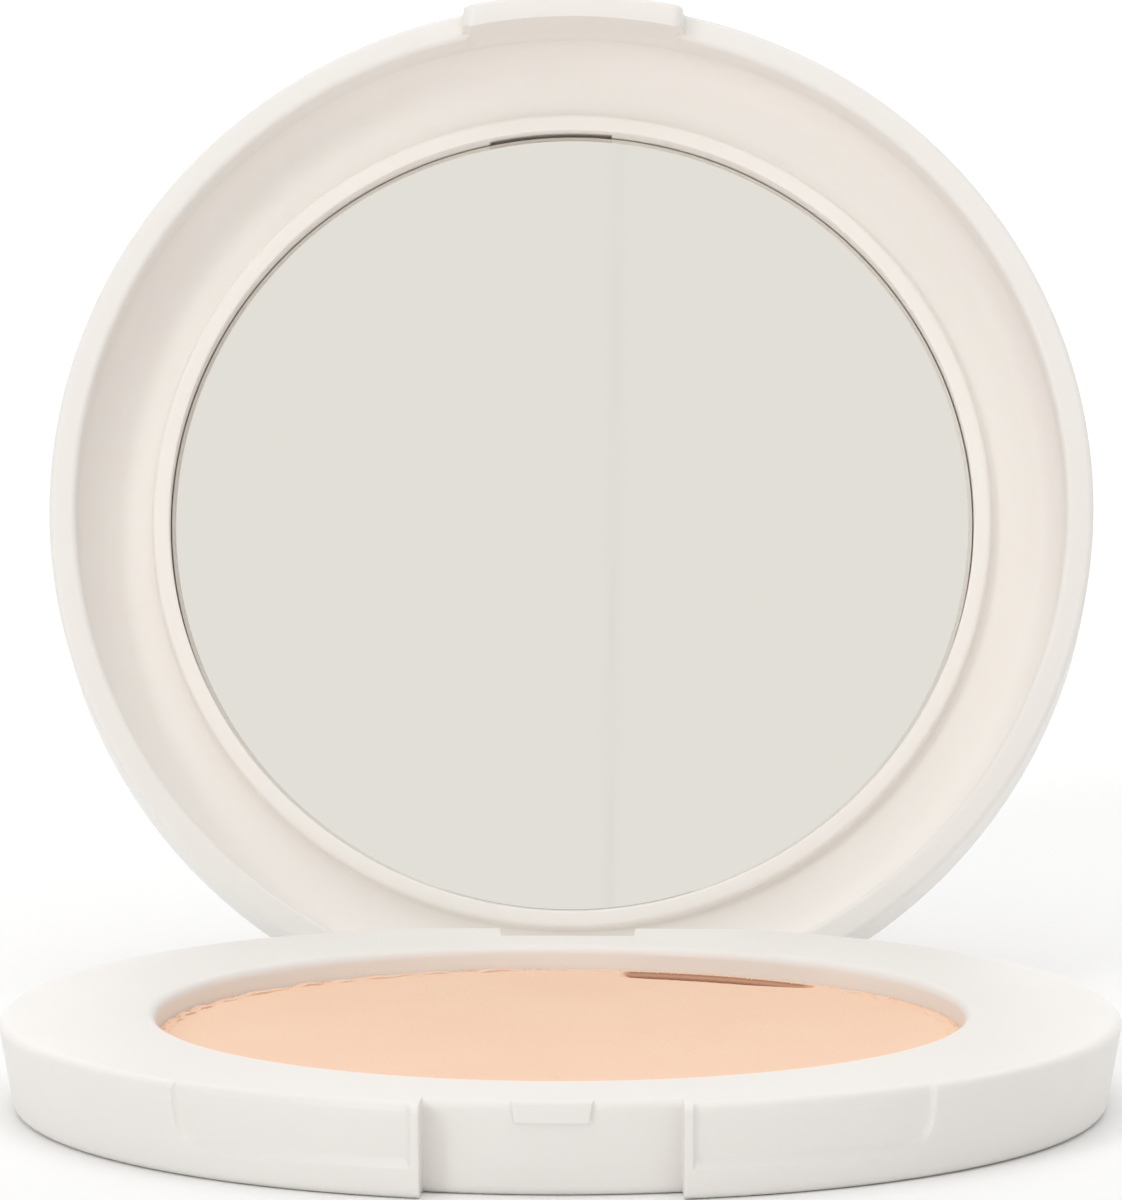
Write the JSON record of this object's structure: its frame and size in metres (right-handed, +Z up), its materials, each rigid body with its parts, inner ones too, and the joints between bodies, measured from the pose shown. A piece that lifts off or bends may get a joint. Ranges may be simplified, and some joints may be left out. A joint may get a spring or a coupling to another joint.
{
  "type": "powder compact",
  "caption": "Round pressed-powder compact: a flat drum base with a finger notch, and a dished lid with a framed mirror on a rear pin hinge, standing open.",
  "frame": {"origin": "centre of the round base's underside, on the table", "axes": "+Z up from the table; +Y from the finger notch at the front to the hinge at the back; +X along the hinge pin, to the right seen from the front"},
  "size_m": [0.08, 0.1131, 0.0756],
  "materials": {
    "shell": "satin",
    "frame": "satin",
    "label": "satin",
    "pan": "satin",
    "adhesive": "matte",
    "powder": "matte",
    "pin": "satin",
    "mirror": "polished"
  },
  "bodies": {
    "base": {"base_shell": "shell", "bottom_plate": "shell", "bottom_label": "label", "powder_pan": "pan", "pan_adhesive": "adhesive", "powder_cake": "powder", "hinge_pin": "pin"},
    "lid": {"lid_cover": "shell", "mirror_frame": "frame", "mirror": "mirror", "mirror_adhesive": "adhesive"}
  },
  "joints": [
    {"name": "lid_hinge", "type": "hinge", "parent": "base", "child": "lid", "pos_m": [0, 0.0369, 0.0038], "axis": [1, 0, 0], "range_deg": [0, 110.6]}
  ]
}
